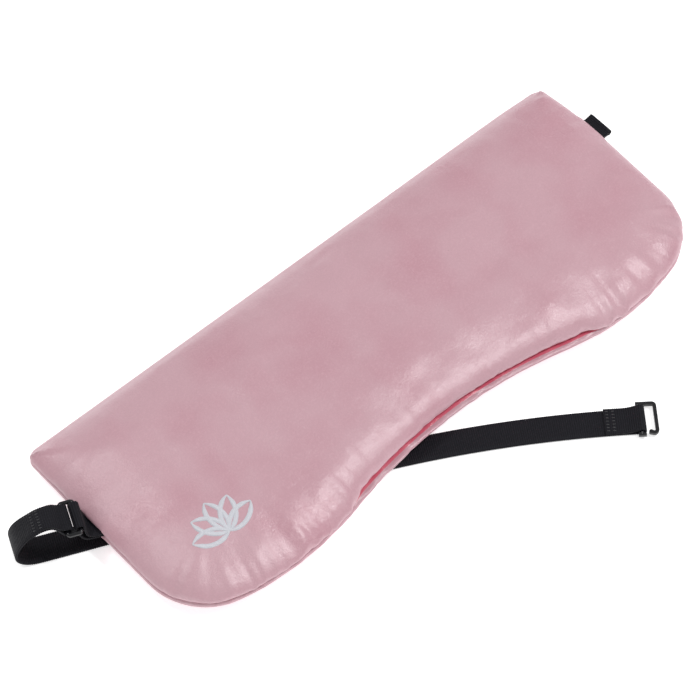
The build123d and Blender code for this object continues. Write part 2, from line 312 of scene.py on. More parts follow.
def shapePanel(flat, side):
    # lays flat points of the pattern on the puffed front (side 1) or back (side -1)
    cut = coverShape["front" if side > 0 else "back"]
    distance, index, inward = nearEdge(flat)
    s = distance / mm
    reach, tab = edgeFacts(index)
    inset = np.interp(s, cut["cut"], cut["inset"])
    rise = np.interp(s, cut["cut"], cut["rise"])
    topEdge = np.clip((-inward[:, 1] - 0.5) / 0.4, 0, 1)
    if side > 0:
        far = coverShape["topEdge"]
        inset += topEdge * (np.interp(s, far["cut"], far["inset"]) - inset)
        rise += topEdge * (np.interp(s, far["cut"], far["rise"]) - rise)
        inset += reach * coverShape["setBack"] * np.exp(-(s / 5.5) ** 2)
    if side < 0:
        lip = coverShape["lip"]
        near = reach * np.clip((14 - s) / 3, 0, 1)
        inset += near * (np.interp(s, lip["cut"], lip["inset"]) - inset)
        rise += near * (np.interp(s, lip["cut"], lip["rise"]) - rise)
    along = index / len(edgeLine) * 2 * math.pi
    ring = np.stack([np.cos(along) * 0.105, np.sin(along) * 0.105], 1)
    gather = softNoise(ring, 0.0045, 3.1 + side) + 0.8 * softNoise(ring, 0.0021, 8.7 + side)
    lower = np.clip(inward[:, 1] * 1.5 + 0.4, 0.25, 1)
    fade = np.clip(s / 2, 0, 1) * np.exp(-(s / 12.5) ** 2) * lower
    inset += gather * coverShape["pucker"] * fade * 0.6
    swell = coverShape["pucker"] * gather * fade
    open01 = np.clip(s / 14, 0, 1)
    dents = softNoise(flat, 0.020, 1.7 * side) + 0.75 * softNoise(flat, 0.009, 5.2)
    rolls = softNoise(flat, 0.045, 9.4)
    rise += swell + (dents * coverShape["dimple"] + rolls * coverShape["roll"]) * open01 * (1 if side > 0 else 0.15)
    gap = coverShape["seamGap"] + reach * coverShape["openingGap"] * (1 + 0.5 * softNoise(ring, 0.006, 2.2))
    gap = np.maximum(gap, tab * 0.86)
    rise += gap * np.exp(-(s / 2.5) ** 2)
    edgePoint = flat - inward * distance[:, None]
    xy = edgePoint + inward * (inset * mm)[:, None]
    xy = tucked(xy)
    z = seamHeight + side * rise * mm
    if side < 0:
        z = np.maximum(z, strapDent(xy))
    return np.concatenate([xy, z[:, None]], 1)


def panelSheet(name, side):
    # one panel of the cover: the puffed sheet with its seam allowance folded inside
    columns, rows = coverShape["across"], coverShape["down"]
    bm = bmesh.new()
    bmesh.ops.create_grid(bm, x_segments=columns, y_segments=rows, size=1)
    bm.verts.ensure_lookup_table()
    uv01 = np.array([v.co[:2] for v in bm.verts]) / 2 + 0.5
    crowd = coverShape["crowding"]
    # crowded towards both ends, where the satin turns over the edge
    eased = (1 - crowd) * uv01 + crowd * (1 - np.cos(math.pi * uv01)) / 2
    flat = coonsPatch(eased[:, 0], eased[:, 1], patchSides())
    placed = shapePanel(flat, side)
    layer = bm.verts.layers.float_vector.new("pattern")
    for vert, spot, cut in zip(bm.verts, placed, flat):
        vert.co = spot
        vert[layer] = (cut[0], cut[1], 0)
    within = bm.faces.layers.int.new("within")
    outerFaces = set(bm.faces)
    foldHem(bm, side, layer)
    for face in bm.faces:
        face[within] = 0 if face in outerFaces else 1
    if side < 0:
        bmesh.ops.reverse_faces(bm, faces=bm.faces[:])
    uvs = bm.loops.layers.uv.new("weave")
    for face in bm.faces:
        for loop in face.loops:
            loop[uvs].uv = (loop.vert[layer][0] * 10, loop.vert[layer][1] * 10)
    return addPiece(name, bm)


def foldHem(bm, side, layer):
    # the allowance, turned in between the two panels
    for share in (0.06, 0.3, 0.65, 1.0):
        rim = [edge for edge in bm.edges if edge.is_boundary]
        made = bmesh.ops.extrude_edge_only(bm, edges=rim)
        verts = [v for v in made["geom"] if isinstance(v, bmesh.types.BMVert)]
        flat = np.array([v[layer][:2] for v in verts])
        _, index, inward = nearEdge(flat)
        reach, tab = edgeFacts(index)
        depth = 0.9 + share * (coverShape["seamHem"] + reach * (coverShape["openingHem"] - coverShape["seamHem"]))
        gap = coverShape["seamGap"] * 0.5 + reach * coverShape["openingGap"] * (1 - 0.5 * share)
        gap = np.maximum(gap, tab * 0.82)
        depth = depth + reach * (coverShape["setBack"] if side > 0 else 1.0) * (1 - share)
        spots = tucked(flat + inward * (depth * mm)[:, None])
        for vert, spot, lift in zip(verts, spots, gap):
            vert.co = (spot[0], spot[1], seamHeight + side * lift * mm)


puffSetup = {
    "pressure": 6.0,
    "frames": 12,
    "cap": 1.6,
    "stretch": 0.0,
    "seamHold": 2.2,
}


def puff(piece, side):
    # air pressure in the cloth, held at the seam, with how far a point may move capped
    start = np.array([v.co[:] for v in piece.data.vertices])
    s = nearEdge(start[:, :2])[0] / mm
    hold = np.clip(1 - (s - puffSetup["seamHold"]) / 3, 0, 1)
    group = piece.vertex_groups.new(name="seam")
    for i, weight in enumerate(hold):
        if weight > 0:
            group.add([i], float(weight), "REPLACE")
    cloth = finishWith(piece, "CLOTH")
    cloth.settings.use_pressure = True
    cloth.settings.uniform_pressure_force = puffSetup["pressure"]
    cloth.settings.shrink_min = puffSetup["stretch"]
    cloth.settings.vertex_group_mass = "seam"
    cloth.settings.effector_weights.gravity = 0
    cloth.settings.tension_stiffness = 30
    cloth.settings.compression_stiffness = 20
    cloth.settings.bending_stiffness = 0.4
    cloth.point_cache.frame_start = 1
    cloth.point_cache.frame_end = puffSetup["frames"]
    for frameNumber in range(1, puffSetup["frames"] + 1):
        scene.frame_set(frameNumber)
    bakeModifiers(piece)
    scene.frame_set(1)
    end = np.array([v.co[:] for v in piece.data.vertices])
    move = end - start
    size = np.linalg.norm(move, axis=1)[:, None]
    free = np.clip((s - 1.5) / 5, 0, 1)[:, None]
    cap = puffSetup["cap"] * mm
    move = move * free * cap / (cap + size)
    end = start + move
    if side < 0:
        end[:, 2] = np.maximum(end[:, 2], np.where(s > 3, strapDent(end[:, :2]), end[:, 2]))
    print("puffed", piece.name, "largest move mm", round(float(np.linalg.norm(move, axis=1).max() / mm), 2))
    for vert, spot in zip(piece.data.vertices, end):
        vert.co = spot


strapSetup = {
    "ring": (-121.0, 13.2),
    "angle": 24.1,
    "width": 10.0,
    "thickness": 0.8,
    "straight": 101.2,
    "bendRadius": 418.0,
    "bendAngle": 13.9,
    "rib": 0.72,
    "picot": 0.16,
    "ringEnd": [(14.1, 14.9), (12.4, 16.1), (10.4, 17.1), (7.6, 17.6), (5.6, 17.1), (4.5, 15.6), (3.3, 13.3)],
    "ringBar": (1.95, 14.2, 1.6),
    "curl": [(3.6, 16.15), (5.0, 17.6), (7.4, 18.6), (10.4, 18.1), (13.2, 16.5), (15.9, 14.2), (18.1, 11.5),
             (19.4, 8.5), (19.6, 5.4), (18.1, 2.7), (15.4, 0.95), (12.0, 0.42)],
    "twist": 14.0,
    "hookBar": (0.0, 1.6, 1.2),
    "hookEnd": [(-3.2, 1.65), (-4.9, 1.24), (-8, 1.2), (-12.0, 1.2)],
}
tabSetup = {
    "leftY": 11.5,
    "rightY": 18.5,
    "left": [(-13.0, 7.42), (-8.0, 7.45), (-5.6, 7.7), (-4.3, 8.9), (-3.65, 11.0), (-3.62, 13.0)],
    "leftBar": (-2.05, 14.2, 1.52),
    "leftBack": [(-0.75, 12.9), (-1.6, 10.6), (-2.7, 8.0), (-4.2, 6.85), (-6.6, 6.58), (-13.0, 6.58)],
    "right": [(108.0, 7.42), (112, 7.42), (115.6, 7.5), (117.6, 7.62)],
    "rightEye": (118.5, 7.4, 0.80),
    "rightBack": [(117.6, 7.1), (115.4, 6.6), (112, 6.56), (108.0, 6.56)],
}


def arcRun(centre, radius, start, end, count):
    return [tuple(p) for p in arcPoints(centre, radius, start, end, count)]


def ringPlace(s, z):
    # a point of the ring's side view: s out along the stored strap from the ring's middle
    a = math.radians(strapSetup["angle"])
    x, y = strapSetup["ring"]
    return (x - s * math.cos(a), y + s * math.sin(a), z)


def runPoints():
    # the lower run seen from above, with its headings
    a = math.radians(strapSetup["angle"])
    start = np.array(ringPlace(12.0, 0)[:2])
    heading = np.array([math.cos(a), -math.sin(a)])
    straight = [start + heading * t for t in np.linspace(0, strapSetup["straight"], 50)]
    turn = math.radians(strapSetup["bendAngle"])
    radius = strapSetup["bendRadius"]
    side = np.array([-math.sin(a), -math.cos(a)])
    bend = [straight[-1] + heading * radius * math.sin(t) + side * radius * (1 - math.cos(t))
            for t in np.linspace(0, turn, 50)[1:]]
    return np.array(straight + bend)


lowerRun = runPoints() * mm


def strapDent(points):
    # how high the back has to stay over the stored strap
    dense = spaced(lowerRun, 500)
    distance = np.concatenate([
        np.sqrt(((part[:, None] - dense[None]) ** 2).sum(-1)).min(1) for part in np.array_split(points, 20)])
    t = np.clip((distance / mm - 5.6) / 3.0, 0, 1)
    return 1.2 * mm * (1 - t * t * (3 - 2 * t))


def smoothRun(points, step):
    # a smooth even line through a few points
    points = np.array(points, float)
    for _ in range(3):
        cut = [points[0]]
        for p, q in zip(points[:-1], points[1:]):
            cut += [p * 0.75 + q * 0.25, p * 0.25 + q * 0.75]
        points = np.array(cut + [points[-1]])
    length = np.linalg.norm(np.diff(points, axis=0), axis=1).sum()
    return spaced(points, max(int(length / step), 4))


def ribbon(name, line, widths, step=0.18):
    # flat ribbed elastic along a line, wound with its picot edges; line in mm with the widths' directions
    line = np.array(line, float)
    joined = smoothRun(np.concatenate([line, np.array(widths, float) * 40], 1), step)
    centre, across = joined[:, :3], joined[:, 3:]
    tangent = np.gradient(centre, axis=0)
    tangent /= np.linalg.norm(tangent, axis=1)[:, None]
    across /= np.linalg.norm(across, axis=1)[:, None]
    up = np.cross(tangent, across)
    along = np.concatenate([[0], np.cumsum(np.linalg.norm(np.diff(centre, axis=0), axis=1))])
    half, thick = strapSetup["width"] / 2, strapSetup["thickness"] / 2
    section = [(-1, 0), (-1, .55), (-.965, .95), (-.6, 1), (-.2, 1), (.2, 1), (.6, 1), (.965, .95), (1, .55), (1, 0),
               (1, -.55), (.965, -.95), (.6, -1), (.2, -1), (-.2, -1), (-.6, -1), (-.965, -.95), (-1, -.55)]
    bm = bmesh.new()
    rows, around = len(centre), len(section)
    bmesh.ops.create_grid(bm, x_segments=rows - 1, y_segments=around, size=1)
    bm.verts.ensure_lookup_table()
    uvs = bm.loops.layers.uv.new("weave")
    picot = strapSetup["picot"] * (0.5 - 0.5 * np.cos(2 * math.pi * along / strapSetup["rib"]))
    for i, vert in enumerate(bm.verts):
        k, j = i % rows, i // rows
        w, t = section[j % around]
        edge = abs(w) > 0.95
        ribDepth = 0.05 * (0.5 - 0.5 * math.cos(2 * math.pi * along[k] / strapSetup["rib"]))
        spot = (centre[k] + across[k] * (w * half - math.copysign(picot[k], w) * edge)
                + up[k] * (t * (thick - ribDepth)))
        vert.co = spot * mm
    for face in bm.faces:
        for loop in face.loops:
            k, j = loop.vert.index % rows, loop.vert.index // rows
            loop[uvs].uv = (along[k] / 10, j / around)
    bmesh.ops.remove_doubles(bm, verts=bm.verts[:], dist=0.00002)
    bmesh.ops.holes_fill(bm, edges=[e for e in bm.edges if e.is_boundary], sides=0)
    bmesh.ops.recalc_face_normals(bm, faces=bm.faces[:])
    piece = addPiece(name, bm)
    return piece


def hookFrame():
    end = lowerRun[-1] / mm
    heading = lowerRun[-1] - lowerRun[-2]
    heading /= np.linalg.norm(heading)
    return end, heading


def makeStrap():
    a = math.radians(strapSetup["angle"])
    leftWidth = (math.sin(a), math.cos(a), 0)
    s, z, r = strapSetup["ringBar"]
    view = strapSetup["ringEnd"] + arcRun((s, z), r, -70, -260, 14) + strapSetup["curl"]
    line = [ringPlace(*p) for p in view]
    widths = []
    for s, z in view:
        # the near edge stands up a little between the ring and the curl
        turn = math.radians(strapSetup["twist"]) * smoothStep(3.5, 8, s) * (1 - smoothStep(13, 19, s)) * (z > 10)
        widths.append((leftWidth[0] * math.cos(turn), leftWidth[1] * math.cos(turn), -math.sin(turn)))
    run = lowerRun / mm
    heads = np.gradient(run, axis=0)
    heads /= np.linalg.norm(heads, axis=1)[:, None]
    for spot, head in list(zip(run, heads))[3:-3]:
        line.append((spot[0], spot[1], 0.42))
        widths.append((-head[1], head[0], 0))
    end, heading = hookFrame()
    s, z, r = strapSetup["hookBar"]
    view = [(-4, 0.42), (-2, 0.42)] + arcRun((s, z), r, -90, 130, 14) + strapSetup["hookEnd"]
    for x, height in view:
        line.append((end[0] + heading[0] * x, end[1] + heading[1] * x, height))
        widths.append((-heading[1], heading[0], 0))
    strap = ribbon("elasticStrap", line, widths)
    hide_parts("elastic_strap")
    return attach(strap, "strap")


def makeTabs():
    a = math.radians(strapSetup["angle"])
    t = tabSetup
    s, z, r = t["leftBar"]
    view = t["left"] + arcRun((s, z), r, 170, 0, 14) + t["leftBack"]
    line = [ringPlace(*p) for p in view]
    left = ribbon("leftTab", line, [(math.sin(a), math.cos(a), 0)] * len(line))
    x, z, r = t["rightEye"]
    view = t["right"] + arcRun((x, z), r, 80, -120, 10) + t["rightBack"]
    line = [(px, t["rightY"], pz) for px, pz in view]
    right = ribbon("rightTab", line, [(0, 1, 0)] * len(line))
    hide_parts("left_tab")
    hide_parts("right_tab")
    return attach(left, "mask"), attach(right, "mask")


hookSetup = {"edge": 0.28, "segments": 3}


def makeHook():
    # the cast hook with its edges rounded over
    bm = bmesh.new()
    bm.from_mesh(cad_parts["g_hook"].data)
    bmesh.ops.remove_doubles(bm, verts=bm.verts[:], dist=0.000005)
    bmesh.ops.dissolve_limit(bm, angle_limit=math.radians(2), verts=bm.verts[:], edges=bm.edges[:])
    sharp = [e for e in bm.edges if len(e.link_faces) == 2 and e.calc_face_angle(0) > math.radians(50)]
    bmesh.ops.bevel(bm, geom=sharp, offset=hookSetup["edge"] * mm, offset_type="OFFSET", affect="EDGES",
                    segments=hookSetup["segments"], profile=0.5, clamp_overlap=True, material=-1)
    bmesh.ops.triangulate(bm, faces=[f for f in bm.faces if len(f.verts) > 4])
    hook = addPiece("gHook", bm)
    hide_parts("g_hook")
    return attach(hook, "hook")


stitchSetup = {
    "length": 1.15,
    "width": 0.42,
    "height": 0.34,
    "perRow": 7,
    "ringRows": (10.2, 12.2),
    "hookRows": (-11.0, -9.0),
}


def stitchRows(name, spots, heading, strap):
    # short raised stitches lying along the elastic, half sunk in its upper face
    tree = BVHTree.FromObject(strap, bpy.context.evaluated_depsgraph_get())
    bm = bmesh.new()
    side = Vector((-heading[1], heading[0], 0))
    angle = math.atan2(heading[1], heading[0])
    for centre in spots:
        for i in range(stitchSetup["perRow"]):
            offset = (i + 1 - (stitchSetup["perRow"] + 1) / 2) * strapSetup["width"] / (stitchSetup["perRow"] + 1)
            made = bmesh.ops.create_uvsphere(bm, u_segments=8, v_segments=5, radius=0.5 * mm)
            place = (Vector((*centre, 0)) + side * offset) * mm
            place.z = tree.ray_cast(Vector((place.x, place.y, 0.05)), Vector((0, 0, -1)))[0].z
            bmesh.ops.rotate(bm, verts=made["verts"], cent=(0, 0, 0), matrix=Matrix.Rotation(math.pi / 2, 3, "Y"))
            bmesh.ops.scale(bm, verts=made["verts"],
                            vec=(stitchSetup["length"], stitchSetup["width"], stitchSetup["height"]))
            bmesh.ops.rotate(bm, verts=made["verts"], cent=(0, 0, 0), matrix=Matrix.Rotation(angle, 3, "Z"))
            bmesh.ops.translate(bm, verts=made["verts"], vec=place)
    piece = addPiece(name, bm)
    return piece


def makeStitches(strap):
    a = math.radians(strapSetup["angle"])
    ringRows = stitchRows("ringEndStitches", [ringPlace(s, 0)[:2] for s in stitchSetup["ringRows"]],
                          (-math.cos(a), math.sin(a)), strap)
    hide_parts("ring_end_stitches")
    end, heading = hookFrame()
    hookRows = stitchRows("hookEndStitches", [end + heading * s for s in stitchSetup["hookRows"]], heading, strap)
    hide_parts("hook_end_stitches")
    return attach(ringRows, "strap"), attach(hookRows, "strap")


motifSetup = {
    "place": (-86.5, -17.0),
    "petalLength": 15.0,
    "petalRadius": 10.0,
    "line": 1.7,
    "height": 0.42,
    "fan": (-72, -36, 0, 36, 72),
}


def drapeOn(piece, base, lift=0.0):
    # moves a flat piece, modelled at z = 0, onto the surface of another along z
    graph = bpy.context.evaluated_depsgraph_get()
    tree = BVHTree.FromObject(base, graph)
    for vert in piece.data.vertices:
        hit, normal, *_ = tree.ray_cast(Vector((vert.co.x, vert.co.y, 0.05)), Vector((0, 0, -1)))
        vert.co = Vector((vert.co.x, vert.co.y, hit.z)) + normal * (vert.co.z + lift)
    return piece


def satinLine(bm, line, uvs, startAt):
    # a raised row of satin stitches along a flat line, drawn in to a point at both ends
    rows, across = len(line), 9
    made = bmesh.ops.create_grid(bm, x_segments=rows - 1, y_segments=across - 1, size=1)["verts"]
    made = sorted(made, key=lambda v: (v.co.y, v.co.x))
    tangent = np.gradient(line, axis=0)
    tangent /= np.linalg.norm(tangent, axis=1)[:, None]
    side = np.stack([-tangent[:, 1], tangent[:, 0]], 1)
    along = np.concatenate([[0], np.cumsum(np.linalg.norm(np.diff(line, axis=0), axis=1))])
    for i, vert in enumerate(made):
        k, j = i % rows, i // rows
        share = 2 * j / (across - 1) - 1
        t = k / (rows - 1)
        full = min(1.0, 0.30 + 3.2 * min(t, 1 - t))
        spot = line[k] + side[k] * share * full * motifSetup["line"] / 2
        crown = math.sqrt(max(1 - share * share, 0)) * motifSetup["height"] * (0.6 + 0.4 * full)
        vert.co = (spot[0] * mm, spot[1] * mm, (crown - 0.06) * mm)
    order = {vert: i for i, vert in enumerate(made)}
    for face in {f for v in made for f in v.link_faces}:
        for loop in face.loops:
            k, j = order[loop.vert] % rows, order[loop.vert] // rows
            loop[uvs].uv = ((startAt + along[k]) / 10, j / across)


def makeMotif(base):
    bm = bmesh.new()
    uvs = bm.loops.layers.uv.new("thread")
    length, radius = motifSetup["petalLength"], motifSetup["petalRadius"] - motifSetup["line"] / 2
    offset = math.sqrt(motifSetup["petalRadius"] ** 2 - (length / 2) ** 2)
    reach = math.degrees(math.acos(offset / radius))
    petalRise = radius * math.sin(math.radians(reach))
    x, y = motifSetup["place"]
    for number, turn in enumerate(motifSetup["fan"]):
        for side in (1, -1):
            arc = arcPoints((-offset, petalRise), radius, -reach, reach, 40) * [side, 1]
            a = math.radians(-turn)
            spin = np.array([[math.cos(a), math.sin(a)], [-math.sin(a), math.cos(a)]])
            satinLine(bm, arc @ spin + [x, y - length / 2], uvs, number * 7.3 + side)
    bmesh.ops.recalc_face_normals(bm, faces=bm.faces[:])
    for face in bm.faces:
        if face.normal.z < 0:
            face.normal_flip()
    piece = drapeOn(addPiece("motifEmbroidery", bm), base)
    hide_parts("motif_embroidery")
    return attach(piece, "mask")


backingSetup = {"width": 27.0, "height": 16.0, "corner": 5.0, "thickness": 0.2, "below": 0.95}


def makeBacking(base):
    # the stiff fleece behind the embroidery, following the underside of the satin
    bm = bmesh.new()
    b = backingSetup
    bmesh.ops.create_grid(bm, x_segments=27, y_segments=16, size=0.5)
    for vert in bm.verts:
        x, y = vert.co.x * b["width"], vert.co.y * b["height"]
        tight = b["corner"] * 0.29 * (abs(vert.co.x) * 2) ** 6 * (abs(vert.co.y) * 2) ** 6
        vert.co = ((x - math.copysign(tight, x) + motifSetup["place"][0]) * mm,
                   (y - math.copysign(tight, y) + motifSetup["place"][1]) * mm, 0)
    sheet = drapeOn(addPiece("motifBacking", bm), base, -b["below"] * mm)
    finishWith(sheet, "SOLIDIFY", thickness=b["thickness"] * mm, offset=0)
    bakeModifiers(sheet)
    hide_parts("motif_backing")
    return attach(sheet, "mask")


pouchSetup = {"edge": 7.2, "skin": 1.3, "seedSkin": 1.8, "seedEdge": 8.0}


def pillow(name, edge, skin):
    # a closed slack pillow inside the cover: front and back sheets joined round a narrow edge
    bm = bmesh.new()
    graph = bpy.context.evaluated_depsgraph_get()
    for side, panel in ((1, front), (-1, back)):
        tree = BVHTree.FromObject(panel, graph)
        made = bmesh.ops.create_grid(bm, x_segments=120, y_segments=52, size=1)["verts"]
        uv01 = np.array([v.co[:2] for v in made]) / 2 + 0.5
        eased = 0.35 * uv01 + 0.65 * (1 - np.cos(math.pi * uv01)) / 2
        flat = coonsPatch(eased[:, 0], eased[:, 1], patchSides())
        distance, _, inward = nearEdge(flat)
        share = np.clip(1 - distance / (24 * mm), 0, 1) ** 2
        centreLine = flat + inward * (edge * mm * share)[:, None]
        outer = np.interp(distance / mm, [0, .5, 1.5, 3, 6, 10, 60], [0, .22, .45, .65, .86, 1, 1])
        roof = []
        for x, y in centreLine:
            hit = tree.ray_cast(Vector((x, y, side * 0.05)), Vector((0, 0, -side)))[0]
            roof.append(hit.z - side * skin * mm - seamHeight)
        z = seamHeight + outer * np.array(roof)
        for vert, spot, height in zip(made, centreLine, z):
            vert.co = (spot[0], spot[1], height)
        if side < 0:
            bmesh.ops.reverse_faces(bm, faces=list({f for v in made for f in v.link_faces}))
    bmesh.ops.remove_doubles(bm, verts=bm.verts[:], dist=0.00001)
    bmesh.ops.recalc_face_normals(bm, faces=bm.faces[:])
    return addPiece(name, bm)


def newFinish(name):
    finish = bpy.data.materials.new(name)
    finish.use_nodes = True
    return finish, finish.node_tree.nodes, finish.node_tree.links, finish.node_tree.nodes["Principled BSDF"]


def addNode(nodes, kind, settings=None, **inputs):
    node = nodes.new(kind)
    for key, value in (settings or {}).items():
        setattr(node, key, value)
    for key, value in inputs.items():
        node.inputs[key.replace("_", " ")].default_value = value
    return node


def noiseOn(nodes, links, vector, scale, detail=2.0, rough=0.5):
    grain = addNode(nodes, "ShaderNodeTexNoise", Scale=scale, Detail=detail, Roughness=rough)
    links.new(vector, grain.inputs["Vector"])
    return grain.outputs["Fac"]


def ramp(nodes, links, factor, low, high, lowValue=0.0, highValue=1.0):
    spread = addNode(nodes, "ShaderNodeMapRange", From_Min=low, From_Max=high, To_Min=lowValue, To_Max=highValue)
    links.new(factor, spread.inputs["Value"])
    return spread.outputs["Result"]


def mixColour(nodes, links, factor, first, second, blend="MIX"):
    mix = addNode(nodes, "ShaderNodeMix", {"data_type": "RGBA", "blend_type": blend})
    for socket, value in ((mix.inputs[0], factor), (mix.inputs[6], first), (mix.inputs[7], second)):
        if isinstance(value, bpy.types.NodeSocket):
            links.new(value, socket)
        else:
            socket.default_value = value if isinstance(value, float) else (*value, 1)
    return mix.outputs[2]


def bumpOn(nodes, links, height, strength, distance, before=None):
    bump = addNode(nodes, "ShaderNodeBump", Strength=strength, Distance=distance)
    links.new(height, bump.inputs["Height"])
    if before is not None:
        links.new(before, bump.inputs["Normal"])
    return bump.outputs["Normal"]


satinLook = {
    "light": (0.590, 0.360, 0.408),
    "dark": (0.545, 0.285, 0.338),
    # painted shade: a darker, redder satin tone for the turned-in allowance, standing in for the shade and pink
    # bounce light inside the seam and the opening's slit
    "fold": (0.64, 0.105, 0.165),
    "roughness": 0.30,
    "anisotropy": 0.5,
    "sheen": 0.12,
    "sheenTint": (0.86, 0.72, 0.86),
    "specular": 0.85,
    "mottleSize": 45,
    "soft": (0.30, 0.0006),  # bump strength and depth
    "grain": (0.70, 0.00012),
    "fibre": (0.45, 0.00010),
}


def makeSatin(name, light, dark):
    finish, nodes, links, shader = newFinish(name)
    coords = addNode(nodes, "ShaderNodeTexCoord").outputs["Object"]
    weaveMap = addNode(nodes, "ShaderNodeUVMap", {"uv_map": "weave"}).outputs["UV"]
    stretched = addNode(nodes, "ShaderNodeMapping")
    stretched.inputs["Scale"].default_value = (1, 4.5, 1)
    links.new(weaveMap, stretched.inputs["Vector"])
    mottle = noiseOn(nodes, links, coords, satinLook["mottleSize"], 2.0, 0.5)
    grain = noiseOn(nodes, links, coords, 1500, 2.0, 0.7)
    fibre = noiseOn(nodes, links, stretched.outputs["Vector"], 160, 3.0, 0.65)
    colour = mixColour(nodes, links, ramp(nodes, links, mottle, 0.25, 0.60), dark, light)
    colour = mixColour(nodes, links, ramp(nodes, links, fibre, 0.3, 0.7, 0.0, 0.30), colour, dark)
    glint = tuple(min(1.0, c * 1.22) for c in light)
    colour = mixColour(nodes, links, ramp(nodes, links, grain, 0.45, 0.75, 0.0, 0.35), colour, glint)
    links.new(colour, shader.inputs["Base Color"])
    links.new(ramp(nodes, links, mottle, 0.3, 0.7, satinLook["roughness"] - 0.03, satinLook["roughness"] + 0.05),
              shader.inputs["Roughness"])
    shader.inputs["Specular IOR Level"].default_value = satinLook["specular"]
    shader.inputs["Anisotropic"].default_value = satinLook["anisotropy"]
    shader.inputs["Sheen Weight"].default_value = satinLook["sheen"]
    shader.inputs["Sheen Roughness"].default_value = 0.35
    shader.inputs["Sheen Tint"].default_value = (*satinLook["sheenTint"], 1)
    tangent = addNode(nodes, "ShaderNodeTangent", {"direction_type": "UV_MAP", "uv_map": "weave"})
    links.new(tangent.outputs["Tangent"], shader.inputs["Tangent"])
    soft = noiseOn(nodes, links, coords, 220, 2.0)
    normal = bumpOn(nodes, links, soft, *satinLook["soft"])
    normal = bumpOn(nodes, links, grain, *satinLook["grain"], before=normal)
    normal = bumpOn(nodes, links, fibre, *satinLook["fibre"], before=normal)
    links.new(normal, shader.inputs["Normal"])
    return finish


elasticLook = {
    "groove": (0.003, 0.0029, 0.005),
    "rib": (0.009, 0.0088, 0.014),
    "fuzz": (0.03, 0.029, 0.038),
    "roughness": 0.66,
    "specular": 0.22,
    "sheen": 0.03,
    "wales": 9.0,
}


def makeElastic():
    # cross-ribbed black elastic: ribs across, fine chevron knit between them
    finish, nodes, links, shader = newFinish("blackElastic")
    weaveMap = addNode(nodes, "ShaderNodeUVMap", {"uv_map": "weave"}).outputs["UV"]
    coords = addNode(nodes, "ShaderNodeTexCoord").outputs["Object"]
    ribs = addNode(nodes, "ShaderNodeTexWave", {"wave_type": "BANDS", "bands_direction": "X", "wave_profile": "SIN"},
                   Scale=10 / strapSetup["rib"] / 20 * 2 * math.pi, Distortion=0.0)
    links.new(weaveMap, ribs.inputs["Vector"])
    wales = addNode(nodes, "ShaderNodeTexWave", {"wave_type": "BANDS", "bands_direction": "Y", "wave_profile": "SIN"},
                    Scale=elasticLook["wales"], Distortion=0.6)
    links.new(weaveMap, wales.inputs["Vector"])
    fuzz = noiseOn(nodes, links, coords, 3000, 2.0, 0.7)
    colour = mixColour(nodes, links, ribs.outputs["Fac"], elasticLook["groove"], elasticLook["rib"])
    colour = mixColour(nodes, links, ramp(nodes, links, fuzz, 0.55, 0.85, 0.0, 0.5), colour, elasticLook["fuzz"])
    links.new(colour, shader.inputs["Base Color"])
    shader.inputs["Roughness"].default_value = elasticLook["roughness"]
    shader.inputs["Specular IOR Level"].default_value = elasticLook["specular"]
    shader.inputs["Sheen Weight"].default_value = elasticLook["sheen"]
    shader.inputs["Sheen Roughness"].default_value = 0.4
    normal = bumpOn(nodes, links, ribs.outputs["Fac"], 0.8, 0.00022)
    normal = bumpOn(nodes, links, wales.outputs["Fac"], 0.35, 0.00010, normal)
    normal = bumpOn(nodes, links, fuzz, 0.3, 0.00006, normal)
    links.new(normal, shader.inputs["Normal"])
    return finish


enamelLook = {"colour": (0.006, 0.006, 0.008), "worn": (0.02, 0.02, 0.024), "specular": 0.35, "coat": 0.25}


def makeEnamel():
    finish, nodes, links, shader = newFinish("blackCoatedMetal")
    coords = addNode(nodes, "ShaderNodeTexCoord").outputs["Object"]
    wear = noiseOn(nodes, links, coords, 700, 3.0, 0.6)
    colour = mixColour(nodes, links, ramp(nodes, links, wear, 0.62, 0.75), enamelLook["colour"], enamelLook["worn"])
    links.new(colour, shader.inputs["Base Color"])
    links.new(ramp(nodes, links, wear, 0.3, 0.8, 0.16, 0.34), shader.inputs["Roughness"])
    shader.inputs["Specular IOR Level"].default_value = enamelLook["specular"]
    shader.inputs["Coat Weight"].default_value = enamelLook["coat"]
    shader.inputs["Coat Roughness"].default_value = 0.15
    links.new(bumpOn(nodes, links, wear, 0.15, 0.00008), shader.inputs["Normal"])
    return finish


clothColours = {  # a low and a high tone of each
    "pinkThread": ((0.38, 0.14, 0.19), (0.62, 0.33, 0.39)),
    "pouchThread": ((0.45, 0.42, 0.36), (0.80, 0.77, 0.70)),
    "blackThread": ((0.006, 0.006, 0.008), (0.03, 0.03, 0.036)),
    "embroidery": ((0.55, 0.56, 0.62), (0.86, 0.87, 0.92)),
    "cotton": ((0.42, 0.38, 0.31), (0.78, 0.74, 0.66)),
    "fleece": ((0.70, 0.70, 0.69), (0.88, 0.88, 0.87)),
}


